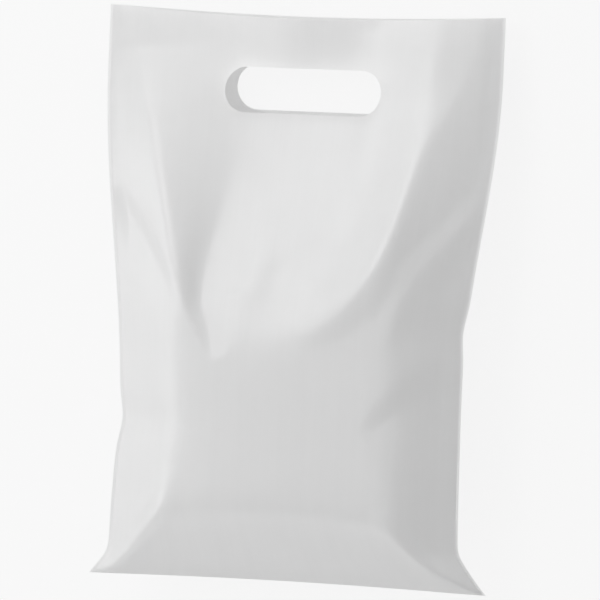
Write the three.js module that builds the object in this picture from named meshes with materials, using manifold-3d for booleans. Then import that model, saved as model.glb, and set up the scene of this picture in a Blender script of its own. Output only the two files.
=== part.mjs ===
// A plastic carrier bag with a punched hand hole, puffed out and lying on its back panel.
// It is one piece of blown film: folded at the bottom, welded down both sides, open at the mouth,
// with the hand hole punched through both panels. Units are millimetres. X runs across the bag,
// Y from the bottom fold to the mouth, and Z up from the surface that the bag lies on.
import * as THREE from "three";
import { mergeVertices } from "three/addons/utils/BufferGeometryUtils.js";
import Module from "manifold-3d";

const { clamp, lerp, smoothstep } = THREE.MathUtils;

// The bag as it is cut and welded, laid flat
const FLAT_WIDTH = 229; // side edge to side edge
const FLAT_HEIGHT = 305; // bottom fold to mouth
const FILM = 0.07; // gauge of the film, 70 micrometres
const WELD_WIDTH = 1.5; // bead that joins the two panels down each side
const HOLE_LENGTH = 90; // hand hole, end to end
const HOLE_HEIGHT = 24;
const HOLE_BELOW_LIP = 26; // mouth edge to the top of the hole
const HOLE_OFF_MIDDLE = 1.5; // the hole is punched this far to the right

// How the film is taken up once the bag is puffed out
const SIDE_TAKE_UP = 4; // a side weld bows, so its ends come this much closer
const BOTTOM_RISE = 1.6; // middle of the bottom fold above its corners
const WAIST_END_BELOW_MOUTH = 31; // where the side edges are straight again
const FOOT_START = 20; // the inset above an ear grows to the full inset from here
const FOOT_END = 100; // to here, from the bottom fold
const EAR_BLEND = 5; // how sharply an ear meets the side edge
const EAR_REACH = 18.5; // the bottom corners stick out as ears, this far in from the side edge
const EAR_HEIGHT = 25;
const KINK_LENGTH = 11; // half the length of the kink in each side edge

// The side welds lie near a plane that slopes down from the bottom fold to the mouth
const FOLD_ABOVE_FLOOR = 26;
const MOUTH_ABOVE_FLOOR = 8;
const BOW_RISE = 12; // a weld bows out of that plane within this distance of the bottom fold
const BOW_FALL_START = 130; // and comes back to it from here, from the bottom fold
const BOW_END_BELOW_MOUTH = 16;
const BOW_FADE = 3; // power with which that bow fades from the weld to the middle

// The two sides. The bag was puffed out by hand, so they differ.
const LEFT = {
  waistInset: 15.4, // side edge pulled in at the waist
  waistY: 85, // from the bottom fold
  footShare: 0.8, // share of that inset just above the ear
  earSlope: 0.95, // inset for each millimetre above the bottom fold
  earDroop: 2, // tip of the ear below the plane of the welds
  kinkInset: 2.4, // depth of the kink in the side edge, where a fold meets the weld
  kinkY: 83, // from the bottom fold
  weldBow: 1.5, // the weld bows up out of the plane of the welds
  bowAtMouth: 0, // share of that bow that is left at the mouth
  flankSlope: 0.7, // rise of the panels, in from the weld
  flankFoot: 1, // share of that slope just above the bottom fold
  flankStart: 120, // the flanks are full up to here, from the bottom fold
  flankEndPastMouth: 10,
};
const RIGHT = {
  waistInset: 14.8,
  waistY: 106,
  footShare: 0.95,
  earSlope: 0.66,
  earDroop: 2,
  kinkInset: 1.8,
  kinkY: 136,
  weldBow: 6,
  bowAtMouth: 0.5,
  flankSlope: 1.15,
  flankFoot: 0.55,
  flankStart: 80,
  flankEndPastMouth: 4,
};
const SIDE_BLEND = 30; // the two flanks change over within this distance of the middle
const FLANK_FOOT_START = 15; // a flank's slope grows to its full slope from here
const FLANK_FOOT_END = 55; // to here, from the bottom fold

// The two panels. Each has a nearly flat face, two flanks, a slope to the bottom fold, and a shoulder
// that slopes down to the lip. The floor presses the back panel flat.
const FRONT = {
  side: 1,
  depth: 34, // face above the plane of the welds
  lipDip: 4.2, // middle of the mouth edge below its corners
  lipGap: 4.8, // scale of this panel's share of the open mouth
  shoulderSlope: 0.28, // rise for each millimetre, from the lip to the face
  shoulderStart: 43, // that slope starts this far below the mouth
  scoop: 43e-6, // the slope is hollow across: growth of its rise with the square of the distance
};
const BACK = {
  side: -1,
  depth: 44,
  lipDip: 3.4,
  lipGap: 9,
  shoulderSlope: 0.3,
  shoulderStart: 5,
  scoop: 0,
};
const SCOOP_MIDDLE_X = -15;
const FACE_CROWN = 0.0009; // drop of a face with the square of the distance
const FACE_MIDDLE_X = 5;
const BOTTOM_SLOPE = 0.8; // rise of the panels above the bottom fold
const BOTTOM_ROLL = 2.2; // the fold is round, so the panels part by this much at once
const ROLL_REACH = 3;
const LIP_RUN = 45; // the lips part over this distance in from the welds
const BODY_BLEND = 9; // how sharply face, flanks and bottom meet
const SHOULDER_BLEND = 9; // how sharply the shoulder meets them
const FLOOR_BLEND = 8; // the film leaves the floor in a curve of this depth

const HALF_WIDTH = FLAT_WIDTH / 2;
const MOUTH_Y = FLAT_HEIGHT - SIDE_TAKE_UP;
const WAIST_END_Y = MOUTH_Y - WAIST_END_BELOW_MOUTH;
const BOW_END_Y = MOUTH_Y - BOW_END_BELOW_MOUTH;

// Paths on the front panel, from the lines that its folds hang on
const belowMouth = (...places) => places.map(([x, below]) => new THREE.Vector2(x, MOUTH_Y - below));
const inFromRight = (...places) => places.map(([inwards, y]) => new THREE.Vector2(HALF_WIDTH - inwards, y));
const inFromLeft = (...places) => places.map(([inwards, y]) => new THREE.Vector2(inwards - HALF_WIDTH, y));

// Folds of the front panel. Each runs up a path, with a height and a width to the left and to the right
// that change evenly along it. A negative height is a valley.
const FRONT_FOLDS = [
  // The pleat from the left end of the hand hole down to a point on the shoulder
  {
    path: belowMouth([-31, 173], [-43, 149], [-42, 119], [-32, 84], [-29, 39]),
    height: [0, -3.2, -3.6, -2.4, 0],
    left: [3, 8, 22, 48, 60],
    right: [8, 20, 36, 50, 50],
  },
  // The ridge along the left of that pleat
  {
    path: belowMouth([-37, 167], [-55, 133], [-72, 92], [-84, 51], [-86, 21]),
    height: [0, 1.8, 2.4, 2, 0],
    left: [7, 14, 26, 28, 28],
    right: [4, 11, 36, 52, 56],
  },
  // The ridge from the shoulder up to the right of the mouth
  {
    path: belowMouth([14, 172], [40, 154], [58, 128], [69, 98], [75, 56], [80, 0]),
    height: [0, 2.4, 3.6, 4.4, 4.6, 3.8],
    left: [18, 26, 32, 36, 40, 44],
    right: [8, 12, 16, 20, 28, 34],
  },
  // The wave of the lip above the hand hole: a crest, then a valley
  {
    path: belowMouth([-6, 39], [-6, 0]),
    height: [0, 3.2],
    left: [30, 34],
    right: [36, 40],
  },
  {
    path: belowMouth([32, 31], [32, 0]),
    height: [0, -3],
    left: [34, 38],
    right: [40, 46],
  },
  // The creases that run in from the welds
  {
    path: inFromLeft([54, MOUTH_Y - 155], [38, MOUTH_Y - 125], [8, MOUTH_Y - 95]),
    height: [0, -0.8, -1.2],
    left: [14, 16, 18],
    right: [8, 11, 14],
  },
  {
    path: inFromRight([48, MOUTH_Y - 173], [35, MOUTH_Y - 136], [12, MOUTH_Y - 103]),
    height: [0, 2.4, 0.8],
    left: [7, 10, 9],
    right: [9, 12, 10],
  },
  // The dent in the edge between the face and the right flank
  {
    path: inFromRight([58, 83], [45, 92], [31, 103]),
    height: [0, -3, -3.2],
    left: [4, 10, 13],
    right: [14, 24, 30],
  },
  // The ridges from the bottom corners
  {
    path: inFromLeft([17, 3], [31, 18], [54, 40], [60, 62]),
    height: [0, 1.5, 2, 0],
    left: [4, 6, 8, 10],
    right: [4, 8, 10, 10],
  },
  {
    path: inFromRight([17, 4], [28, 15], [41, 31], [45, 46]),
    height: [0, 1.5, 1.5, 0],
    left: [4, 8, 10, 10],
    right: [4, 6, 8, 8],
  },
];
const FOLD_MARGIN = 9; // folds fade out within this distance of a weld or of the bottom fold
const VALLEY_LIMIT = 1.5; // a valley takes at most this many times the panel's depth
const CREST_ROUND = 0.16; // round of a fold's crest, as a share of its width
const FOOT_ROUND = 0.25; // round of its foot, as a share of its height
const PATH_STEPS = 40;

// Mesh steps
const ROWS = 44;
const COLUMNS = 32;
const ROW_CROWDING = 0.35; // rows crowd towards the bottom fold
const COLUMN_CROWDING = 0.3; // columns crowd towards the welds
const HOLE_ARC_STEPS = 10;
const CORNER_RUN_OUT = 2; // gauges that the outside of the bottom fold runs past its inside at a weld
const CUTTER_REACH = 90;
const SLOPE_STEP = 1e-4; // share of a panel over which its slope is taken
const MERGE_DISTANCE = 1e-4;

// 1 below the start, 0 above the end, and a smooth fall between them.
function fall(y, start, end) {
  const share = clamp((y - start) / (end - start), 0, 1);
  return Math.cos((share * Math.PI) / 2) ** 2;
}

// The least of several depths, with the corners between them rounded. It is 0 where any depth is 0.
function softLeast(depths, power) {
  if (depths.some((depth) => depth <= 0)) return 0;
  const sum = depths.reduce((total, depth) => total + depth ** -power, 0);
  return sum ** (-1 / power);
}

// The lesser of two depths, rounded only where they differ by less than the blend.
function blendedLesser(a, b, blend) {
  const share = Math.max(blend - Math.abs(a - b), 0) / blend;
  return Math.min(a, b) - (share * share * blend) / 4;
}

const edgeAt = (x) => (x < 0 ? LEFT : RIGHT);

// Half the width of the bag on one side, bead included, at a height above the bottom fold.
function halfWidth(edge, y) {
  const foot = lerp(1, edge.footShare, fall(y, FOOT_START, FOOT_END));
  const waist = edge.waistInset * foot * fall(y, edge.waistY, WAIST_END_Y);
  const kink = edge.kinkInset * Math.exp(-(((y - edge.kinkY) / KINK_LENGTH) ** 2));
  return HALF_WIDTH - softLeast([waist + kink, edge.earSlope * y], EAR_BLEND);
}

// Height above the floor from which both panels puff out: the plane through the bag's corners, with the
// welds bowed up a little and the ears drooping.
function weldHeight(x, y) {
  const edge = edgeAt(x);
  const aboveFold = Math.max(y, 0);
  const plane = lerp(FOLD_ABOVE_FLOOR, MOUTH_ABOVE_FLOOR, y / MOUTH_Y);
  const towardsWeld = Math.min(Math.abs(x) / halfWidth(edge, y), 1) ** BOW_FADE;
  const upTheWeld = lerp(edge.bowAtMouth, 1, fall(y, BOW_FALL_START, BOW_END_Y));
  const bow = upTheWeld * (1 - Math.exp(-aboveFold / BOW_RISE));
  const outOnEar = Math.max(Math.abs(x) - HALF_WIDTH + EAR_REACH, 0) / EAR_REACH;
  const droop = outOnEar * Math.exp(-aboveFold / EAR_HEIGHT);
  return plane + edge.weldBow * bow * towardsWeld - edge.earDroop * droop;
}

// How far a puffed panel stands away from that height.
function crown(panel, x, y, aboveFold) {
  const reach = halfWidth(edgeAt(x), y) - WELD_WIDTH - Math.abs(x);
  const flankSlope = (edge) => {
    const foot = lerp(1, edge.flankFoot, fall(y, FLANK_FOOT_START, FLANK_FOOT_END));
    const full = fall(y, edge.flankStart, MOUTH_Y + edge.flankEndPastMouth);
    return lerp(panel.lipGap / LIP_RUN, edge.flankSlope * foot, full);
  };
  const flank = reach * lerp(flankSlope(LEFT), flankSlope(RIGHT), smoothstep(x, -SIDE_BLEND, SIDE_BLEND));
  const face = panel.depth - FACE_CROWN * (x - FACE_MIDDLE_X) ** 2;
  const bottom = BOTTOM_SLOPE * aboveFold + BOTTOM_ROLL * (1 - Math.exp(-aboveFold / ROLL_REACH));
  const body = softLeast([face, flank, bottom], BODY_BLEND);
  const hollow = 1 + panel.scoop * (x - SCOOP_MIDDLE_X) ** 2;
  const rise = (panel.shoulderSlope * hollow * (MOUTH_Y - panel.shoulderStart - y)) / 2;
  const shoulder = rise + Math.hypot(rise, panel.lipGap);
  return softLeast([body, shoulder], SHOULDER_BLEND);
}

// A value that changes evenly along a fold, from the list of its values.
function spread(values, along) {
  const at = along * (values.length - 1);
  const first = Math.min(Math.floor(at), values.length - 2);
  return lerp(values[first], values[first + 1], at - first);
}

// Section of a fold by the distance from its crest: 1 on the crest, straight sides, and a soft foot.
function tent(off) {
  const drop = (Math.hypot(off, CREST_ROUND) - CREST_ROUND) / (Math.hypot(1, CREST_ROUND) - CREST_ROUND);
  const rise = 1 - drop;
  return rise > FOOT_ROUND ? rise : Math.max(rise + FOOT_ROUND, 0) ** 2 / (4 * FOOT_ROUND);
}

const foldPaths = FRONT_FOLDS.map((fold) => new THREE.SplineCurve(fold.path).getPoints(PATH_STEPS));

// Height that one fold adds at a place on the front panel.
function foldHeight(fold, path, place) {
  let nearest = Infinity;
  let along = 0;
  let toTheLeft = false;
  for (let i = 0; i < PATH_STEPS; i++) {
    const run = path[i + 1].clone().sub(path[i]);
    const off = place.clone().sub(path[i]);
    const share = clamp(off.dot(run) / run.lengthSq(), 0, 1);
    off.addScaledVector(run, -share);
    if (off.length() < nearest) {
      nearest = off.length();
      along = (i + share) / PATH_STEPS;
      toTheLeft = run.cross(off) > 0;
    }
  }
  const width = spread(toTheLeft ? fold.left : fold.right, along);
  return spread(fold.height, along) * tent(nearest / width);
}

// Depth of a panel with its folds, or pressed flat by the floor under it.
function standOff(panel, x, y, aboveFold) {
  const depth = crown(panel, x, y, aboveFold);
  if (panel === BACK) return blendedLesser(depth, weldHeight(x, y) - FILM, FLOOR_BLEND);
  const place = new THREE.Vector2(x, y);
  const folds = FRONT_FOLDS.reduce((sum, fold, i) => sum + foldHeight(fold, foldPaths[i], place), 0);
  const fromWeld = halfWidth(edgeAt(x), y) - WELD_WIDTH - Math.abs(x);
  const shown = clamp(Math.min(fromWeld, aboveFold) / FOLD_MARGIN, 0, 1);
  return Math.max(depth + shown * folds, (1 - VALLEY_LIMIT) * depth);
}

// Edge of a panel at the mouth and at the bottom fold, across from -1 at one weld to 1 at the other.
const lipEdge = (panel, across) => MOUTH_Y - panel.lipDip * (1 - across * across);
const foldEdge = (across) => BOTTOM_RISE * (1 - across * across);

// A point on the inside of a panel, by its share across and its share of the way up to the mouth.
function insidePoint(panel, across, up) {
  const y = lerp(foldEdge(across), lipEdge(panel, across), up);
  const x = across * (halfWidth(edgeAt(across), y) - WELD_WIDTH);
  const open = up > 0 && Math.abs(across) < 1;
  const depth = open ? standOff(panel, x, y, y - foldEdge(across)) : 0;
  return new THREE.Vector3(x, y, weldHeight(x, y) + panel.side * depth);
}

// The same point on the outside: straight over it, so that the film is one gauge thick square to its face.
function outsidePoint(panel, across, up) {
  const inside = insidePoint(panel, across, up);
  if (up === 0) return inside.add(new THREE.Vector3(CORNER_RUN_OUT * FILM * across, -FILM, 0));
  if (Math.abs(across) === 1) return inside.add(new THREE.Vector3(0, 0, panel.side * FILM));
  const step = SLOPE_STEP;
  const upper = Math.min(up + step, 1);
  const alongX = insidePoint(panel, across + step, up).sub(insidePoint(panel, across - step, up));
  const alongY = insidePoint(panel, across, upper).sub(insidePoint(panel, across, upper - 2 * step));
  const normal = alongX.cross(alongY).normalize();
  return inside.add(new THREE.Vector3(0, 0, (panel.side * FILM) / normal.z));
}

// The outer edge of a weld bead.
function beadPoint(side, up) {
  const y = lerp(0, MOUTH_Y, up);
  const x = side * halfWidth(edgeAt(side), y);
  return new THREE.Vector3(x, up === 0 ? -FILM : y, weldHeight(x, y));
}

const upShares = Array.from({ length: ROWS + 1 }, (_, i) => {
  const share = i / ROWS;
  return (1 - ROW_CROWDING) * share + ROW_CROWDING * share * share;
});
const acrossShares = Array.from({ length: COLUMNS + 1 }, (_, j) => {
  const share = (2 * j) / COLUMNS - 1;
  return (1 - COLUMN_CROWDING) * share + COLUMN_CROWDING * Math.sin((share * Math.PI) / 2);
});

// The film as one closed mesh: outside and inside of both panels, the weld beads and the rim of the mouth.
function filmGeometry() {
  const points = [];
  const triangles = [];
  const add = (point) => points.push(point) - 1;
  const quad = (a, b, c, d) => triangles.push(a, b, c, a, c, d);
  // Each cell is split along the diagonal that points out to the nearest corner, as the creases there run.
  const cell = (i, j, a, b, c, d) =>
    (i < ROWS / 2) === (j < COLUMNS / 2) ? quad(a, b, c, d) : quad(b, c, d, a);
  const grid = (pointAt) => upShares.map((up) => acrossShares.map((across) => add(pointAt(across, up))));

  const outer = grid((across, up) => outsidePoint(FRONT, across, up));
  const inner = grid((across, up) => insidePoint(FRONT, across, up));
  const shared = (i, j) => j === 0 || j === COLUMNS || i === 0;
  const outerBack = outer.map((row, i) =>
    row.map((point, j) => (i === 0 ? point : add(outsidePoint(BACK, acrossShares[j], upShares[i])))),
  );
  const innerBack = inner.map((row, i) =>
    row.map((point, j) => (shared(i, j) ? point : add(insidePoint(BACK, acrossShares[j], upShares[i])))),
  );
  const leftBead = upShares.map((up) => add(beadPoint(-1, up)));
  const rightBead = upShares.map((up) => add(beadPoint(1, up)));

  for (let i = 0; i < ROWS; i++) {
    for (let j = 0; j < COLUMNS; j++) {
      cell(i, j, outer[i][j], outer[i][j + 1], outer[i + 1][j + 1], outer[i + 1][j]);
      cell(i, j, inner[i][j], inner[i + 1][j], inner[i + 1][j + 1], inner[i][j + 1]);
      cell(i, j, outerBack[i][j], outerBack[i + 1][j], outerBack[i + 1][j + 1], outerBack[i][j + 1]);
      cell(i, j, innerBack[i][j], innerBack[i][j + 1], innerBack[i + 1][j + 1], innerBack[i + 1][j]);
    }
    quad(leftBead[i], outer[i][0], outer[i + 1][0], leftBead[i + 1]);
    quad(leftBead[i], leftBead[i + 1], outerBack[i + 1][0], outerBack[i][0]);
    quad(outer[i][COLUMNS], rightBead[i], rightBead[i + 1], outer[i + 1][COLUMNS]);
    quad(outerBack[i][COLUMNS], outerBack[i + 1][COLUMNS], rightBead[i + 1], rightBead[i]);
  }

  for (let j = 0; j < COLUMNS; j++) {
    quad(outer[ROWS][j], outer[ROWS][j + 1], inner[ROWS][j + 1], inner[ROWS][j]);
    quad(innerBack[ROWS][j], innerBack[ROWS][j + 1], outerBack[ROWS][j + 1], outerBack[ROWS][j]);
  }
  triangles.push(outer[ROWS][0], inner[ROWS][0], leftBead[ROWS]);
  triangles.push(inner[ROWS][0], outerBack[ROWS][0], leftBead[ROWS]);
  triangles.push(outer[ROWS][COLUMNS], rightBead[ROWS], inner[ROWS][COLUMNS]);
  triangles.push(inner[ROWS][COLUMNS], rightBead[ROWS], outerBack[ROWS][COLUMNS]);

  const geometry = new THREE.BufferGeometry().setFromPoints(points);
  geometry.setIndex(triangles);
  return geometry;
}

// The punch for one panel's hand hole: a slot with round ends, from the plane of the welds outwards.
function punchGeometry(panel) {
  const radius = HOLE_HEIGHT / 2;
  const reach = HOLE_LENGTH / 2 - radius;
  const slot = new THREE.Shape();
  slot.absarc(reach, 0, radius, -Math.PI / 2, Math.PI / 2, false);
  slot.absarc(-reach, 0, radius, Math.PI / 2, (3 * Math.PI) / 2, false);
  slot.closePath();
  const settings = { depth: CUTTER_REACH, bevelEnabled: false, curveSegments: HOLE_ARC_STEPS };
  const geometry = new THREE.ExtrudeGeometry(slot, settings);
  const middleY = lipEdge(panel, 0) - HOLE_BELOW_LIP - radius;
  const start = weldHeight(HOLE_OFF_MIDDLE, middleY) - (panel.side < 0 ? CUTTER_REACH : 0);
  return geometry.translate(HOLE_OFF_MIDDLE, middleY, start);
}

const wasm = await Module();
wasm.setup();

// A closed geometry as a solid that can be joined and cut.
function solidOf(geometry) {
  geometry.deleteAttribute("normal");
  geometry.deleteAttribute("uv");
  const merged = mergeVertices(geometry, MERGE_DISTANCE);
  const vertProperties = new Float32Array(merged.attributes.position.array);
  const triVerts = new Uint32Array(merged.index.array);
  return new wasm.Manifold(new wasm.Mesh({ numProp: 3, vertProperties, triVerts }));
}

function geometryOf(solid) {
  const { vertProperties, triVerts } = solid.getMesh();
  const geometry = new THREE.BufferGeometry();
  geometry.setAttribute("position", new THREE.BufferAttribute(vertProperties, 3));
  geometry.setIndex(new THREE.BufferAttribute(triVerts, 1));
  geometry.computeVertexNormals();
  return geometry;
}

const punched = solidOf(filmGeometry())
  .subtract(solidOf(punchGeometry(FRONT)))
  .subtract(solidOf(punchGeometry(BACK)));

const whiteFilm = new THREE.MeshStandardMaterial({
  color: 0xe6e6e5,
  roughness: 0.5,
  metalness: 0,
  side: THREE.DoubleSide,
});
const bag = new THREE.Mesh(geometryOf(punched), whiteFilm);
bag.name = "film_bag";
bag.position.y = (FILM - MOUTH_Y) / 2; // the origin is under the middle of the bag

const part = new THREE.Group();
part.add(bag);
export default part;
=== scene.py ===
# %% [markdown]
# # A white plastic carrier bag
#
# The real bag is one web of blown polythene film. The maker folds it at the bottom, welds it down
# both sides with a hot knife, cuts the mouth and punches a hand hole through both panels at once.
# Nothing is glued or sewn on, so this lesson has one piece to make, and all its character is in the
# way the thin film puffs out, folds and catches the light.

# %% Load the fixed frame
import math

import bpy
import numpy as np
from mathutils import Matrix, Vector


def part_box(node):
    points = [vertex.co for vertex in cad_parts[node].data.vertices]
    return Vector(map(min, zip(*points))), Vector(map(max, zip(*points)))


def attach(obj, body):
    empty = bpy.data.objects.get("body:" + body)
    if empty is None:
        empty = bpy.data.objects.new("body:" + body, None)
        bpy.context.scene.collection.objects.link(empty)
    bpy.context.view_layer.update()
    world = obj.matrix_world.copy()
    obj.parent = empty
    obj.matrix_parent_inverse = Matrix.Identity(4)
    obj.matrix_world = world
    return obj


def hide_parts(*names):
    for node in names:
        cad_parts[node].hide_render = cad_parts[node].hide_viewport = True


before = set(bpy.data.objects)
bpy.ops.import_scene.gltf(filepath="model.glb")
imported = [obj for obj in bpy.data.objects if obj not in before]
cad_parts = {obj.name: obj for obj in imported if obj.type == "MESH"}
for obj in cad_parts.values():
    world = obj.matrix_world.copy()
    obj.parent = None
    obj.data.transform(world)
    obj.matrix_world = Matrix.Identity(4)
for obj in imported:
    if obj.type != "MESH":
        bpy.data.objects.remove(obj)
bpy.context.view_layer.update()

BAG_NODE = "film_bag"
MM = 0.001

node_low, node_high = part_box(BAG_NODE)
print("bag box, mm:", [round(v / MM, 1) for v in (*node_low, *node_high)])

# %% [markdown]
# ## The bag's own measure
#
# The bag lies on its back panel. X runs across it, Y from the bottom fold to the mouth, and Z up
# out of the front panel. Two lengths come straight from the frame: the width between the side
# edges, and the length from the bottom fold to the mouth. Everything else hangs on those two, on the
# gauge of the film, and on a few heights. One could trace the form by hand instead, but sizes with
# names are easier to change. In the functions below y is measured from the bottom fold.

# %% Driving sizes
FILM = 0.07 * MM  # gauge of the film
WELD = 1.5 * MM  # width of a side weld
half_flat = node_high.x
fold_y = node_low.y + FILM
mouth = node_high.y - fold_y

FOLD_ABOVE_FLOOR = 26 * MM
MOUTH_ABOVE_FLOOR = 8 * MM


def fall(y, start, end):
    """1 below the start, 0 above the end, and a smooth fall between them."""
    share = np.clip((y - start) / (end - start), 0, 1)
    return np.cos(share * math.pi / 2) ** 2


def weld_plane(y):
    """Height of the plane through the bag's four corners, which slopes down to the mouth."""
    return FOLD_ABOVE_FLOOR + (MOUTH_ABOVE_FLOOR - FOLD_ABOVE_FLOOR) * y / mouth


print("width", round(2 * half_flat / MM, 1), "mm, length", round(mouth / MM, 1), "mm")

# %% [markdown]
# ## The outline
#
# When a flat bag is puffed out, its sides have to come in, because the film can't stretch. They
# come in most at the waist, with a small kink where a fold meets the weld. The two bottom corners
# can't follow: they stick out as small flat ears. Each side edge is therefore the lesser of two
# insets, a slope out to the ear's tip and the waist's, with the corner between them rounded. A curve
# drawn by hand would do as well, but it couldn't be measured at any height as a function can.

# %% Side edges
WAIST_INSET = {"left": 15.4 * MM, "right": 14.8 * MM}
WAIST_Y = {"left": 85 * MM, "right": 106 * MM}
WAIST_END = mouth - 31 * MM  # above this the sides are straight again
FOOT_INSET = {"left": 0.8, "right": 0.95}  # share of the waist's inset that is left above the ears
FOOT_FALL = (20 * MM, 100 * MM)
EAR_SLOPE = {"left": 0.95, "right": 0.66}
EAR_BLEND = {"left": 5, "right": 12}  # how sharply an ear meets the side edge
KINK_INSET = {"left": 2.4 * MM, "right": 1.8 * MM}
KINK_Y = {"left": 83 * MM, "right": 136 * MM}
KINK_LENGTH = 11 * MM
TINY = 1e-6


def soft_least(depths, power):
    """The least of several depths with the corners between them rounded, and 0 where one is 0."""
    return sum(np.maximum(d, TINY) ** -power for d in depths) ** (-1 / power)


def by_side(values, left):
    return np.where(left, values["left"], values["right"])


def half_width(y, left):
    """Half the width of the bag at a height above the bottom fold, on its left or right side."""
    foot = 1 - (1 - by_side(FOOT_INSET, left)) * fall(y, *FOOT_FALL)
    waist = by_side(WAIST_INSET, left) * foot * fall(y, by_side(WAIST_Y, left), WAIST_END)
    kink = by_side(KINK_INSET, left) * np.exp(-(((y - by_side(KINK_Y, left)) / KINK_LENGTH) ** 2))
    ear = by_side(EAR_SLOPE, left) * np.maximum(y, 0)
    return half_flat - soft_least([waist + kink, ear], by_side(EAR_BLEND, left))


for y in (5, 20, 95, 200, 300):
    print("half width at", y, "mm:", round(float(half_width(y * MM, False)) / MM, 1))

# %% Welds, bottom fold and mouth edges
WELD_BOW = {"left": 1.5 * MM, "right": 6 * MM}  # how far a weld bows up off the corner plane
BOW_RISE = 12 * MM
BOW_FALL = (130 * MM, 285 * MM)
BOW_AT_MOUTH = {"left": 0.0, "right": 0.5}  # share of a weld's bow that is left at the mouth
EAR_DROOP = 2 * MM
EAR_ROOT = 96 * MM
EAR_HEIGHT = 25 * MM
BOTTOM_RISE = 1.6 * MM  # the fold and the lips are drawn in at the middle by the puffing
LIP_DIP = {"front": 4.2 * MM, "back": 3.4 * MM}


def base_height(x, y):
    """Height from which both panels puff out: the corner plane, with the welds bowed up."""
    left = x < 0
    bow = by_side(WELD_BOW, left) * (1 - np.exp(-np.maximum(y, 0) / BOW_RISE))
    bow = bow * (1 - (1 - by_side(BOW_AT_MOUTH, left)) * (1 - fall(y, *BOW_FALL)))
    bow = bow * np.minimum(np.abs(x) / half_width(y, left), 1) ** 3
    out_on_ear = np.maximum(np.abs(x) - EAR_ROOT, 0) / (half_flat - EAR_ROOT)
    droop = EAR_DROOP * out_on_ear * np.exp(-np.maximum(y, 0) / EAR_HEIGHT)
    return weld_plane(y) + bow - droop


def fold_edge(across):
    return BOTTOM_RISE * (1 - across**2)


def lip_edge(panel, across):
    return mouth - LIP_DIP[panel] * (1 - across**2)


weld_middle = float(base_height(half_width(mouth / 2, False), mouth / 2))
print("right weld", round(weld_middle / MM, 1), "mm above the floor at half its length")

# %% [markdown]
# ## The puffed panels
#
# Each panel is like a shallow tent: a nearly flat face, two flanks that come down to the welds, a
# slope that rolls round the bottom fold, and a long hollow slope from the shoulder to the hand hole.
# Film with a little air behind it makes just such planes with rounded edges. So the height of a
# panel is the least of those planes, with the corners between them softened. A sum of inverse powers
# does this and is exactly zero at the welds. A subdivided box would be rounder than film is. The
# floor then presses the back panel flat.

# %% Planes of a panel
FACE_DEPTH = {"front": 34 * MM, "back": 44 * MM}
FACE_CROWN = 0.9  # per metre: how much the face drops towards its sides
FACE_SHIFT = 5 * MM  # the face is highest this far right of the middle
FLANK_SLOPE = {"left": 0.7, "right": 1.15}
FLANK_START = {"left": 120 * MM, "right": 80 * MM}  # from here up the flanks grow flatter
FLANK_END = {"left": mouth + 10 * MM, "right": mouth + 4 * MM}
FLANK_FOOT = {"left": 0.45, "right": 0.9}  # share of a flank's slope just above the bottom fold
FLANK_FOOT_FALL = {"left": (0, 14 * MM), "right": (15 * MM, 55 * MM)}
SIDE_BLEND = 30 * MM  # the left flank's slope turns into the right one's over twice this width
BOTTOM_SLOPE = 0.8
BOTTOM_ROLL = 2.2 * MM  # the bottom fold is round, not pressed
ROLL_REACH = 3 * MM
LIP_GAP = {"front": 4.8 * MM, "back": 9 * MM}  # how far a panel stands off the welds at the mouth
LIP_RUN = 45 * MM
SHOULDER_SLOPE = {"front": 0.253, "back": 0.3}
SHOULDER_START = {"front": 43 * MM, "back": 5 * MM}
SCOOP_MIDDLE = -15 * MM
SCOOP_CURVE = {"front": 56, "back": 0}  # per square metre: the slope is hollow across
BODY_BLEND = 9  # powers of the soft least: a higher one makes a sharper edge
SLOPE_BLEND = 26


def crown(panel, x, y, above_fold):
    """How far a puffed panel stands away from the plane of the welds."""
    reach = np.maximum(half_width(y, x < 0) - WELD - np.abs(x), 0)
    lip_slope = LIP_GAP[panel] / LIP_RUN
    slopes = {}
    for side in ("left", "right"):
        foot = 1 - (1 - FLANK_FOOT[side]) * fall(y, *FLANK_FOOT_FALL[side])
        full = fall(y, FLANK_START[side], FLANK_END[side])
        slopes[side] = lip_slope + (FLANK_SLOPE[side] * foot - lip_slope) * full
    right_share = 1 - fall(x, -SIDE_BLEND, SIDE_BLEND)
    flank = reach * (slopes["left"] + (slopes["right"] - slopes["left"]) * right_share)
    face = FACE_DEPTH[panel] - FACE_CROWN * (x - FACE_SHIFT) ** 2
    above = np.maximum(above_fold, 0)
    bottom = BOTTOM_SLOPE * above + BOTTOM_ROLL * (1 - np.exp(-above / ROLL_REACH))
    body = soft_least([face, flank, bottom], BODY_BLEND)
    scoop = 1 + SCOOP_CURVE[panel] * (x - SCOOP_MIDDLE) ** 2
    rise = SHOULDER_SLOPE[panel] * scoop * (mouth - SHOULDER_START[panel] - y) / 2
    slope = rise + np.hypot(rise, LIP_GAP[panel])
    return soft_least([body, slope], SLOPE_BLEND)


probe = np.array([60, 120, 180, 240, 295]) * MM
for panel in ("front", "back"):
    heights = crown(panel, 0 * probe, probe, probe)
    print(panel, "depth up the middle, mm:", np.round(heights / MM, 1))

# %% Back panel pressed flat by the floor
FLOOR_BLEND = 8 * MM


def pressed_flat(depth, x, y):
    """Depth of the back panel held up by the floor, with a curve where it leaves the floor."""
    room = base_height(x, y) - FILM
    share = np.maximum(FLOOR_BLEND - np.abs(depth - room), 0) / FLOOR_BLEND
    return np.minimum(depth, room) - share**2 * FLOOR_BLEND / 4


pressed = pressed_flat(crown("back", 0 * probe, probe, probe), 0 * probe, probe)
print("back depth on the floor, mm:", np.round(pressed / MM, 1))

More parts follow.
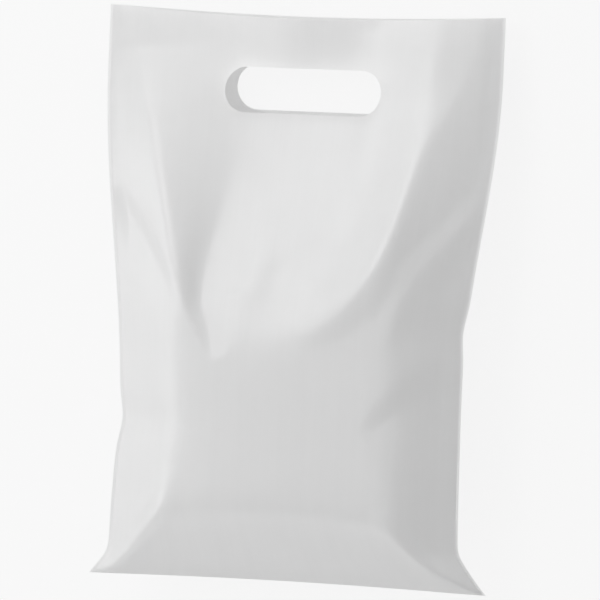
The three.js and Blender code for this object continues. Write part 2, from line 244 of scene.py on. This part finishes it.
# %% [markdown]
# ## Folds
#
# Film that is pulled in makes folds: creases between small flat facets, sharp at one end and dying
# out at the other. Each is drawn here as a path up the front panel, with a height and a width on
# either side that change along the path. Its section is a tent: a small round crest, straight sides
# and a soft foot, which is how film bends. A negative height is a valley. A list of such folds is
# easier to steer towards a certain bag than a cloth simulation would be.

# %% Path of a fold
PATH_STEPS = 60


def smooth_path(points):
    """Points along a Catmull-Rom curve through the given points."""
    pts = np.array([points[0], *points, points[-1]], float) * MM
    spans = len(points) - 1
    result = []
    for t in np.linspace(0, spans, PATH_STEPS):
        i = min(int(t), spans - 1)
        u = t - i
        a, b, c, d = pts[i : i + 4]
        bend = (2 * a - 5 * b + 4 * c - d) * u**2
        twist = (3 * b - a - 3 * c + d) * u**3
        result.append(0.5 * (2 * b + (c - a) * u + bend + twist))
    return np.array(result)


def spread(values, along):
    """Values in mm, spread evenly along a path."""
    return np.interp(along, np.linspace(0, 1, len(values)), values) * MM


print("a path of", len(smooth_path([(0, 0), (10, 10), (0, 20)])), "points")

# %% Section of a fold
CREST_ROUND = 0.16  # shares of the fold's width
FOOT_ROUND = 0.25


def tent(off):
    """Section of a fold: 1 at its crest, 0 beyond its width."""
    full_drop = math.hypot(1, CREST_ROUND) - CREST_ROUND
    rise = 1 - (np.hypot(off, CREST_ROUND) - CREST_ROUND) / full_drop
    foot = np.clip(rise + FOOT_ROUND, 0, None) ** 2 / (4 * FOOT_ROUND)
    return np.where(rise > FOOT_ROUND, rise, foot)


def fold(x, y, points, height, left, right):
    """Height that a fold adds, from its heights and its widths to both sides along its path."""
    path = smooth_path(points)
    nearest = np.full(x.shape, np.inf)
    along = np.zeros(x.shape)
    side = np.zeros(x.shape)
    for i, (a, b) in enumerate(zip(path[:-1], path[1:])):
        run = b - a
        u = ((x - a[0]) * run[0] + (y - a[1]) * run[1]) / max(run @ run, TINY**2)
        u = np.clip(u, 0, 1)
        off_x = x - a[0] - u * run[0]
        off_y = y - a[1] - u * run[1]
        distance = np.hypot(off_x, off_y)
        nearer = distance < nearest
        nearest = np.where(nearer, distance, nearest)
        along = np.where(nearer, (i + u) / (PATH_STEPS - 1), along)
        side = np.where(nearer, run[0] * off_y - run[1] * off_x, side)
    width = np.where(side > 0, spread(left, along), spread(right, along))
    return spread(height, along) * tent(nearest / width)


print("section from crest to foot:", np.round(tent(np.linspace(0, 1.2, 7)), 2))

# %% The folds of this bag, in mm
FRONT_FOLDS = {
    "pleat valley": dict(
        points=[(-30, 119), (-37, 133), (-45, 150), (-44, 170), (-40, 188), (-32, 217), (-29, 262)],
        height=(0, -2.7, -4.8, -5, -4.8, -3, 0),
        left=(4, 5, 6, 12, 22, 48, 60),
        right=(10, 20, 27, 33, 37, 50, 50)),
    "pleat ridge": dict(
        points=[(-39, 131), (-50, 149), (-57, 168), (-73, 210), (-84, 250), (-86, 280)],
        height=(0, 1.5, 2, 2.4, 2, 0),
        left=(6, 10, 14, 26, 28, 28),
        right=(3, 5, 10, 36, 52, 56)),
    "main ridge": dict(
        points=[(13, 129), (40, 146), (60, 172), (72, 203), (76, 245), (78, 303)],
        height=(0, 2.5, 4, 5, 5.4, 4.8),
        left=(16, 22, 26, 28, 30, 34),
        right=(8, 12, 17, 24, 34, 38)),
    "strip ridge": dict(
        points=[(-6, 258), (-6, 303)],
        height=(0, 4.6),
        left=(30, 34),
        right=(36, 40)),
    "strip valley": dict(
        points=[(32, 266), (32, 303)],
        height=(0, -4.4),
        left=(34, 38),
        right=(40, 46)),
    "left crease": dict(
        points=[(-56, 142), (-74, 168), (-104, 196)],
        height=(0, -2.2, -2.6),
        left=(14, 16, 18),
        right=(7, 9, 11)),
    "streak": dict(
        points=[(66, 128), (79, 165), (103, 198)],
        height=(0, 3.2, 1.4),
        left=(7, 10, 9),
        right=(9, 12, 10)),
    "flank step": dict(
        points=[(56, 83), (69, 92), (83, 103), (97, 113)],
        height=(0, -3.2, -3.2, -1),
        left=(4, 10, 13, 14),
        right=(20, 36, 42, 42)),
    "left corner": dict(
        points=[(-98, 3), (-84, 18), (-61, 40), (-55, 62)],
        height=(0, 1.5, 2, 0),
        left=(4, 6, 8, 10),
        right=(4, 8, 10, 10)),
    "right corner": dict(
        points=[(98, 4), (87, 15), (74, 31), (70, 46)],
        height=(0, 1.5, 1.5, 0),
        left=(4, 8, 10, 10),
        right=(4, 6, 8, 8)),
    "shoulder streak": dict(
        points=[(-1, 136), (-1, 166), (-2, 200)],
        height=(0, -1.1, 0),
        left=(11, 12, 12),
        right=(24, 25, 25)),
}


def front_folds(x, y):
    return sum(fold(x, y, **shape) for shape in FRONT_FOLDS.values())


deepest = min(min(shape["height"]) for shape in FRONT_FOLDS.values())
print(len(FRONT_FOLDS), "folds on the front panel, down to", deepest, "mm")

# %% [markdown]
# ## Puckers along the welds
#
# A hot knife shrinks the film a little as it welds, so the film beside a weld is too long and
# ripples. Noise would do, but three sine waves of lengths that never line up make ripples of a known
# size that don't look like a pattern. They die out a short way in from the weld.

# %% Ripples beside a weld
PUCKER_HEIGHT = 0.32 * MM
PUCKER_REACH = 9 * MM
PUCKER_LENGTHS = (11.3 * MM, 17.9 * MM, 29 * MM)
PUCKER_START = {"left": 0.7, "right": 2.9}  # so that the two sides differ


def puckers(x, y):
    """Height of the ripples beside the welds."""
    from_weld = half_width(y, x < 0) - np.abs(x)
    start = by_side(PUCKER_START, x < 0)
    waves = sum(
        np.sin(2 * math.pi * y / length + start * (i + 1))
        for i, length in enumerate(PUCKER_LENGTHS)
    )
    return PUCKER_HEIGHT * waves / len(PUCKER_LENGTHS) * np.exp(-from_weld / PUCKER_REACH)


print("ripples up to", round(PUCKER_HEIGHT / MM, 2), "mm high")

# %% [markdown]
# ## The film as one closed mesh
#
# A grid of points covers each panel. Every point is made twice, on the inside of the film and on
# the outside, one film gauge apart, so the bag is a true shell with a thickness. The panels share
# their points along the bottom fold and the welds. Where the hand hole is punched, the faces inside
# its outline are left out, and the points beside it slide onto the outline. That gives a clean round
# edge without a boolean cut, which leaves long thin faces on a film as thin as this.

# %% Grid of a panel
COLUMNS = 112
ROWS = 156
ROW_CROWDING = 0.3  # rows crowd towards the bottom fold, columns towards the welds
COLUMN_CROWDING = 0.35

share_up = np.linspace(0, 1, ROWS + 1)
share_up = (1 - ROW_CROWDING) * share_up + ROW_CROWDING * share_up**2
share_across = np.linspace(-1, 1, COLUMNS + 1)
bowed = np.sin(share_across * math.pi / 2)
share_across = (1 - COLUMN_CROWDING) * share_across + COLUMN_CROWDING * bowed
across_grid, up_grid = np.meshgrid(share_across, share_up)
print("grid of", across_grid.shape[1], "by", across_grid.shape[0], "points")

# %% The punched hand hole
HOLE_LENGTH = 90 * MM
HOLE_SHIFT = 1.5 * MM
HOLE_HEIGHT = 24 * MM
HOLE_BELOW_LIP = 26 * MM


def hole_distance(panel, x, y):
    """Distance to the edge of the hand hole, negative inside it."""
    radius = HOLE_HEIGHT / 2
    middle_y = lip_edge(panel, 0) - HOLE_BELOW_LIP - radius
    beside = np.maximum(np.abs(x - HOLE_SHIFT) - (HOLE_LENGTH / 2 - radius), 0)
    return np.hypot(beside, y - middle_y) - radius


def sum_of_four(grid):
    """Sum of each two-by-two block of neighbours in a grid."""
    return grid[1:, 1:] + grid[1:, :-1] + grid[:-1, 1:] + grid[:-1, :-1]


def snap_to_hole(panel, x, y):
    """Which faces are punched out, and the grid with points moved onto the edge of the hole."""
    punched = hole_distance(panel, sum_of_four(x) / 4, sum_of_four(y) / 4) < 0
    around = sum_of_four(np.pad(punched, 1).astype(int))
    edge = (around > 0) & (around < 4)
    step = 0.01 * MM
    off = hole_distance(panel, x, y)
    rise_x = hole_distance(panel, x + step, y) - hole_distance(panel, x - step, y)
    rise_y = hole_distance(panel, x, y + step) - hole_distance(panel, x, y - step)
    moved_x = np.where(edge, x - off * (rise_x / (2 * step)), x)
    moved_y = np.where(edge, y - off * (rise_y / (2 * step)), y)
    return punched, moved_x, moved_y


print("hand hole", round(HOLE_LENGTH / MM), "by", round(HOLE_HEIGHT / MM), "mm")

# %% Inside and outside of each panel
FOLD_MARGIN = 9 * MM  # folds fade out this near to a weld or the bottom fold
DENT_LIMIT = 0.5  # share of a panel's depth that a fold may press in past the welds
PUNCH_CURL = 0.5 * MM
CURL_REACH = 2.5 * MM


def panel_grid(panel):
    """Inside and outside points of a panel, and the faces that the punch takes away."""
    y = fold_edge(across_grid) + up_grid * (lip_edge(panel, across_grid) - fold_edge(across_grid))
    x = across_grid * (half_width(y, across_grid < 0) - WELD)
    punched, x, y = snap_to_hole(panel, x, y)
    above_fold = y - fold_edge(across_grid)
    depth = crown(panel, x, y, above_fold)
    from_weld = np.minimum(half_width(y, x < 0) - WELD - np.abs(x), above_fold)
    shown = np.clip(from_weld / FOLD_MARGIN, 0, 1)
    curl = PUNCH_CURL * np.exp(-np.abs(hole_distance(panel, x, y)) / CURL_REACH)
    if panel == "front":
        relief = front_folds(x, y) + curl + puckers(x, y)
        depth = np.maximum(depth + shown * relief, -DENT_LIMIT * depth)
    else:
        depth = pressed_flat(depth + shown * puckers(x, y), x, y)
    depth[0, :] = depth[:, 0] = depth[:, -1] = 0
    way = 1 if panel == "front" else -1
    inside = np.stack([x, y + fold_y, base_height(x, y) + way * depth], -1)
    normal = np.cross(np.gradient(inside, axis=1), np.gradient(inside, axis=0))
    normal *= way / np.linalg.norm(normal, axis=-1, keepdims=True)
    normal[:, 0] = normal[:, -1] = (0, 0, way)
    normal[0, :] = (0, -1, 0)
    return inside, inside + FILM * normal, punched


front_in, front_out, front_punched = panel_grid("front")
back_in, back_out, back_punched = panel_grid("back")
print("front crown", round(front_out[..., 2].max() / MM, 1), "mm above the floor")
print("hand hole takes", int(front_punched.sum()), "faces from the front panel")

# %% [markdown]
# ## Joining the film
#
# On the real bag the two panels meet in the bottom fold and in the welds, and the film ends at the
# mouth and at the punched hole. Here the four grids, the inside and the outside of both panels, are
# joined by strips of faces at those same places. Bridging edge loops by hand would give the same
# faces. Each point also keeps its place on the flat web and its share in a weld, for the material.

# %% Collect points and faces
points = []
flat_places = []
weld_shares = []
faces = []


def add_points(grid, across, up, weld):
    """Add a grid of points, with the place of each on the flat film and its share in a weld."""
    first = sum(len(p) for p in points)
    points.append(grid.reshape(-1, 3))
    flat = np.stack(np.broadcast_arrays(across * half_flat, up * mouth, 0 * up), -1)
    flat_places.append(flat.reshape(-1, 3))
    weld_shares.append(np.full(grid.size // 3, weld))
    return np.arange(first, first + grid.size // 3).reshape(grid.shape[:-1])


def add_quads(a, b, c, d, keep=None):
    quads = np.stack([a, b, c, d], -1).reshape(-1, 4)
    faces.append(quads if keep is None else quads[keep.ravel()])


def add_surface(grid, punched):
    add_quads(grid[:-1, :-1], grid[:-1, 1:], grid[1:, 1:], grid[1:, :-1], keep=~punched)


def add_hole_rim(outer, inner, punched):
    """Faces of the cut edge, from the outside of the film to the inside."""
    hole = np.pad(punched, 1)
    along_rows = hole[:-1, 1:-1] ^ hole[1:, 1:-1]
    add_quads(outer[:, :-1][along_rows], outer[:, 1:][along_rows],
              inner[:, 1:][along_rows], inner[:, :-1][along_rows])
    along_columns = hole[1:-1, :-1] ^ hole[1:-1, 1:]
    add_quads(outer[:-1][along_columns], outer[1:][along_columns],
              inner[1:][along_columns], inner[:-1][along_columns])


grids = (front_out, front_in, back_out, back_in)
fo, fi, bo, bi = (add_points(grid, across_grid, up_grid, 0.0) for grid in grids)
print("points of the panels:", sum(len(p) for p in points))

# %% Weld beads, surfaces and edges
bead_y = share_up * mouth
bead_row = np.where(share_up == 0, fold_y - FILM, bead_y + fold_y)


def add_bead(left):
    """Points of the outer edge of a weld."""
    way = -1 if left else 1
    x = half_width(bead_y, left) * way
    return add_points(np.stack([x, bead_row, base_height(x, bead_y)], -1), way, share_up, 1.0)


left_bead = add_bead(True)
right_bead = add_bead(False)

for outer, inner, punched in ((fo, fi, front_punched), (bo, bi, back_punched)):
    add_surface(outer, punched)
    add_surface(inner, punched)
    add_hole_rim(outer, inner, punched)
# The cut lips of the mouth, then both welds, then the ends of the welds at the mouth
add_quads(fo[-1, :-1], fo[-1, 1:], fi[-1, 1:], fi[-1, :-1])
add_quads(bi[-1, :-1], bi[-1, 1:], bo[-1, 1:], bo[-1, :-1])
add_quads(left_bead[:-1], fo[:-1, 0], fo[1:, 0], left_bead[1:])
add_quads(left_bead[:-1], left_bead[1:], bo[1:, 0], bo[:-1, 0])
add_quads(fo[:-1, -1], right_bead[:-1], right_bead[1:], fo[1:, -1])
add_quads(bo[:-1, -1], bo[1:, -1], right_bead[1:], right_bead[:-1])
add_quads(*(np.array([i]) for i in (fo[-1, 0], fi[-1, 0], bo[-1, 0], left_bead[-1])))
add_quads(*(np.array([i]) for i in (fo[-1, -1], right_bead[-1], bo[-1, -1], fi[-1, -1])))
print("faces of the film:", sum(len(f) for f in faces))

# %% Make the mesh
mesh = bpy.data.meshes.new("carrier_bag")
mesh.from_pydata(np.concatenate(points).tolist(), [], np.concatenate(faces).tolist())
flat_place = mesh.attributes.new("flat_place", "FLOAT_VECTOR", "POINT")
flat_place.data.foreach_set("vector", np.concatenate(flat_places).ravel())
weld_share = mesh.attributes.new("weld_share", "FLOAT", "POINT")
weld_share.data.foreach_set("value", np.concatenate(weld_shares))
bag = bpy.data.objects.new("carrier_bag", mesh)
bpy.context.scene.collection.objects.link(bag)
print(bag.name, "has", len(mesh.vertices), "points before merging")

# %% Merge the shared points and check that the shell is closed
import bmesh

MERGE_DISTANCE = 0.2 * FILM
SHARP_ANGLE = math.radians(50)

shell = bmesh.new()
shell.from_mesh(mesh)
bmesh.ops.remove_doubles(shell, verts=shell.verts, dist=MERGE_DISTANCE)
loose = [v for v in shell.verts if not v.link_faces]
bmesh.ops.delete(shell, geom=loose, context="VERTS")
bmesh.ops.recalc_face_normals(shell, faces=shell.faces)
open_edges = sum(1 for e in shell.edges if len(e.link_faces) != 2)
print("edges that don't join two faces:", open_edges)
for face in shell.faces:
    face.smooth = True
shell.to_mesh(mesh)
shell.free()
mesh.set_sharp_from_angle(angle=SHARP_ANGLE)
print("bag:", len(mesh.vertices), "points,", len(mesh.polygons), "faces")

# %% [markdown]
# ## White blown polythene
#
# The film is low-density polythene with white pigment, blown as a tube and rolled flat. That gives
# the eye an almost even white with a satin gloss. A closer look shows faint lines along the web,
# where the die left the film a touch thicker, and a fine orange peel from the cooling melt. Light
# also comes through it. Subsurface scattering is meant for thick things, so a translucent shader
# mixed with the white surface does this better on a film.

# %% A helper for nodes, and one for colours


def linear(hex_colour):
    """An sRGB hex colour as linear RGBA."""
    channels = [int(hex_colour[i : i + 2], 16) / 255 for i in (1, 3, 5)]
    curve = [c / 12.92 if c <= 0.04045 else ((c + 0.055) / 1.055) ** 2.4 for c in channels]
    return (*curve, 1.0)


def add_node(material, kind, inputs=None, **settings):
    """Add a node, set its properties, then fill its inputs with values or links."""
    node = material.node_tree.nodes.new(kind)
    for name, value in settings.items():
        setattr(node, name, value)
    for name, value in (inputs or {}).items():
        if isinstance(value, bpy.types.NodeSocket):
            material.node_tree.links.new(value, node.inputs[name])
        else:
            node.inputs[name].default_value = value
    return node


def new_material(name):
    material = bpy.data.materials.new(name)
    material.use_nodes = True
    material.node_tree.nodes.clear()
    return material


print("middle grey, linear:", [round(c, 3) for c in linear("#808080")])

# %% The film's patterns
BAND_WIDTH = 14 * MM
LINE_WIDTH = 1.1 * MM
WEB_LENGTH = 700 * MM
CLOUD_SIZE = 24 * MM
PEEL_SIZE = 1.6 * MM
LINE_SHARE = 0.35  # share of the fine die lines in the streaks

film = new_material("white-pigmented polythene film, blown and hot-knife welded")
flat = add_node(film, "ShaderNodeAttribute", attribute_name="flat_place")
weld = add_node(film, "ShaderNodeAttribute", attribute_name="weld_share")
body_place = add_node(film, "ShaderNodeTexCoord")

# Gauge bands and die lines run up the web, so the pattern is stretched along Y. The eye reads them
# as the faint streakiness that tells blown film from paper. Real die lines are finer than these,
# which are drawn as coarse as they need to show.
along_web = add_node(film, "ShaderNodeVectorMath", {
    0: flat.outputs["Vector"], 1: (1, BAND_WIDTH / WEB_LENGTH, 1)}, operation="MULTIPLY")
bands = add_node(film, "ShaderNodeTexNoise", {
    "Vector": along_web.outputs[0], "Scale": 1 / BAND_WIDTH, "Detail": 1.0})
lines = add_node(film, "ShaderNodeTexNoise", {
    "Vector": along_web.outputs[0], "Scale": 1 / LINE_WIDTH, "Detail": 2.0})
clouds = add_node(film, "ShaderNodeTexNoise", {
    "Vector": body_place.outputs["Object"], "Scale": 1 / CLOUD_SIZE})
peel = add_node(film, "ShaderNodeTexNoise", {
    "Vector": body_place.outputs["Object"], "Scale": 1 / PEEL_SIZE})
streaks = add_node(film, "ShaderNodeMix", {
    0: LINE_SHARE, 2: bands.outputs[0], 3: lines.outputs[0]}, data_type="FLOAT")
print("bands", round(BAND_WIDTH / MM), "mm wide, peel", round(PEEL_SIZE / MM, 1), "mm")

# %% The film's white, gloss and relief
FILM_WHITE = linear("#FAFAFA")
FILM_THICK = linear("#F3F3F3")
POLYTHENE_IOR = 1.51
FILM_ROUGHNESS = (0.30, 0.38)
WELD_ROUGHNESS = 0.22  # melted, so smoother than the film
NOISE_LOW, NOISE_HIGH = 0.3, 0.7  # most of a noise texture lies between these
RELIEF_LINES = 0.4  # share of the die lines in the relief
PEEL_DEPTH = 0.012 * MM

white = add_node(film, "ShaderNodeMix", {
    0: streaks.outputs[0], 6: FILM_WHITE, 7: FILM_THICK}, data_type="RGBA")
satin = add_node(film, "ShaderNodeMapRange", {
    "Value": clouds.outputs[0], "From Min": NOISE_LOW, "From Max": NOISE_HIGH,
    "To Min": FILM_ROUGHNESS[0], "To Max": FILM_ROUGHNESS[1]})
gloss = add_node(film, "ShaderNodeMix", {
    0: weld.outputs["Fac"], 2: satin.outputs[0], 3: WELD_ROUGHNESS}, data_type="FLOAT")
relief = add_node(film, "ShaderNodeMix", {
    0: RELIEF_LINES, 2: peel.outputs[0], 3: lines.outputs[0]}, data_type="FLOAT")
bump = add_node(film, "ShaderNodeBump", {"Distance": PEEL_DEPTH, "Height": relief.outputs[0]})
# The light that goes through takes about half of the gloss away, so the gloss is doubled here.
surface = add_node(film, "ShaderNodeBsdfPrincipled", {
    "Base Color": white.outputs[2], "Roughness": gloss.outputs[0], "IOR": POLYTHENE_IOR,
    "Specular IOR Level": 1.0, "Normal": bump.outputs[0]})
print("film roughness", FILM_ROUGHNESS, "and", WELD_ROUGHNESS, "on the welds")

# %% Light through the film
FILM_THROUGH = (0.58, 0.52)  # share of the light, where the film is thin and where it is thick

through = add_node(film, "ShaderNodeBsdfTranslucent", {"Color": white.outputs[2]})
thin = add_node(film, "ShaderNodeMapRange", {
    "Value": bands.outputs[0], "From Min": NOISE_LOW, "From Max": NOISE_HIGH,
    "To Min": FILM_THROUGH[0], "To Max": FILM_THROUGH[1]})
both = add_node(film, "ShaderNodeMixShader", {
    0: thin.outputs[0], 1: surface.outputs[0], 2: through.outputs[0]})
add_node(film, "ShaderNodeOutputMaterial", {"Surface": both.outputs[0]})
mesh.materials.append(film)
print("film lets through", FILM_THROUGH[1], "to", FILM_THROUGH[0], "of the light")

# %% [markdown]
# ## Floor, light and camera
#
# The bag lies on a plain white floor. To the camera the floor is mostly its own white, so the ground
# stays pale, and partly a lit surface, so that it keeps the bag's soft shadow. White film shows its
# folds only by small changes of tone. So four large soft lights come in low, all from the left half,
# two of them near the bottom fold and near the mouth, and an even white sky fills the shaded flank.
# One strong lamp would make the folds too hard.

# %% White floor
FLOOR_SIZE = 6.0
FLOOR_DROP = 0.1 * MM
FLOOR_GLOW = 0.86
FLOOR_WHITE = linear("#F2F2F2")
FLOOR_SHADE = linear("#525252")  # the part of the white that a shadow can take away

# Coated card is even and matt, so the eye sees only its white and the shadow on it.
card = new_material("white card, matt coated")
rays = add_node(card, "ShaderNodeLightPath")
seen = add_node(card, "ShaderNodeMath", {
    0: rays.outputs["Is Camera Ray"], 1: rays.outputs["Is Glossy Ray"]}, operation="MAXIMUM")
seen = add_node(card, "ShaderNodeMath", {
    0: seen.outputs[0], 1: rays.outputs["Is Transmission Ray"]}, operation="MAXIMUM")
lit = add_node(card, "ShaderNodeBsdfDiffuse", {"Color": FLOOR_WHITE})
glow = add_node(card, "ShaderNodeEmission", {"Strength": FLOOR_GLOW})
dim = add_node(card, "ShaderNodeBsdfDiffuse", {"Color": FLOOR_SHADE})
pale = add_node(card, "ShaderNodeAddShader", {0: glow.outputs[0], 1: dim.outputs[0]})
mixed = add_node(card, "ShaderNodeMixShader", {
    0: seen.outputs[0], 1: lit.outputs[0], 2: pale.outputs[0]})
add_node(card, "ShaderNodeOutputMaterial", {"Surface": mixed.outputs[0]})

bpy.ops.mesh.primitive_plane_add(size=FLOOR_SIZE, location=(0, 0, -FLOOR_DROP))
floor = bpy.context.object
floor.name = "floor"
floor.data.materials.append(card)
print("floor", FLOOR_SIZE, "m square")

# %% Soft lights and an even sky
LIGHTS = {
    "left": dict(place=(-1.85, 0.0, 0.35), size=1.0, power=5.6),
    "upper": dict(place=(-1.04, 0.95, 1.42), size=0.9, power=7.5),
    "foot": dict(place=(-0.9, -1.5, 0.8), size=1.0, power=5.2),
    "head": dict(place=(-0.6, 1.8, 0.5), size=1.0, power=14.5),
}
SKY_STRENGTH = 0.64


def soft_light(name, place, size, power):
    """A square lamp of a size in metres and a power in watts, turned towards the bag."""
    lamp = bpy.data.lights.new(name, "AREA")
    lamp.size = size
    lamp.energy = power
    holder = bpy.data.objects.new(name, lamp)
    holder.location = place
    holder.rotation_euler = (-Vector(place)).to_track_quat("-Z", "Y").to_euler()
    bpy.context.scene.collection.objects.link(holder)


for name, light in LIGHTS.items():
    soft_light(name, **light)

world = bpy.data.worlds.new("studio")
bpy.context.scene.world = world
world.use_nodes = True
sky = world.node_tree.nodes["Background"]
sky.inputs["Color"].default_value = linear("#FFFFFF")
sky.inputs["Strength"].default_value = SKY_STRENGTH
bpy.context.scene.view_settings.view_transform = "Standard"
print(len(LIGHTS), "lights of", sum(light["power"] for light in LIGHTS.values()), "W in all")

# %% [markdown]
# ## The camera
#
# The camera looks down on the front panel from a little to its right, from far away through a long
# lens, so the sides of the bag stay nearly parallel. Its direction is worked out from the plane of
# the four corners, because that plane leans a little towards the mouth as the bag lies.

# %% Camera
CAMERA_TURN = math.radians(24.2)
CAMERA_LIFT = math.radians(0.8)
CAMERA_ROLL = math.radians(2.37)
CAMERA_DISTANCE = 5.517
CLIP_END = 20.0
PIXELS_PER_METRE = 1897
PHOTO_PIXELS = 600
SENSOR = 36.0
AIM_RIGHT = -4.9 * MM
AIM_UP = -2.2 * MM

lean = math.atan2(FOLD_ABOVE_FLOOR - MOUTH_ABOVE_FLOOR, mouth)
to_row = Matrix.Rotation(-lean, 3, "X")
towards = to_row @ Vector((
    math.sin(CAMERA_TURN) * math.cos(CAMERA_LIFT),
    math.sin(CAMERA_LIFT),
    math.cos(CAMERA_TURN) * math.cos(CAMERA_LIFT),
))
level = (to_row @ Vector((0, 1, 0))).cross(towards).normalized()
upright = towards.cross(level)
right = math.cos(CAMERA_ROLL) * level + math.sin(CAMERA_ROLL) * upright
up = towards.cross(right)

camera_data = bpy.data.cameras.new("camera")
camera_data.sensor_width = SENSOR
camera_data.lens = PIXELS_PER_METRE * CAMERA_DISTANCE * SENSOR / PHOTO_PIXELS
camera = bpy.data.objects.new("camera", camera_data)
bpy.context.scene.collection.objects.link(camera)
turn = Matrix((right, up, towards)).transposed().to_4x4()
aim = AIM_RIGHT * right + AIM_UP * up
camera.matrix_world = Matrix.Translation(aim + CAMERA_DISTANCE * towards) @ turn
camera_data.clip_end = CLIP_END
bpy.context.scene.camera = camera
print("lens", round(camera_data.lens), "mm")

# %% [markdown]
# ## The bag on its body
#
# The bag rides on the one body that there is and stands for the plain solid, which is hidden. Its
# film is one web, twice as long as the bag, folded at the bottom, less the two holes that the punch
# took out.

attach(bag, "root")
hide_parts(BAG_NODE)
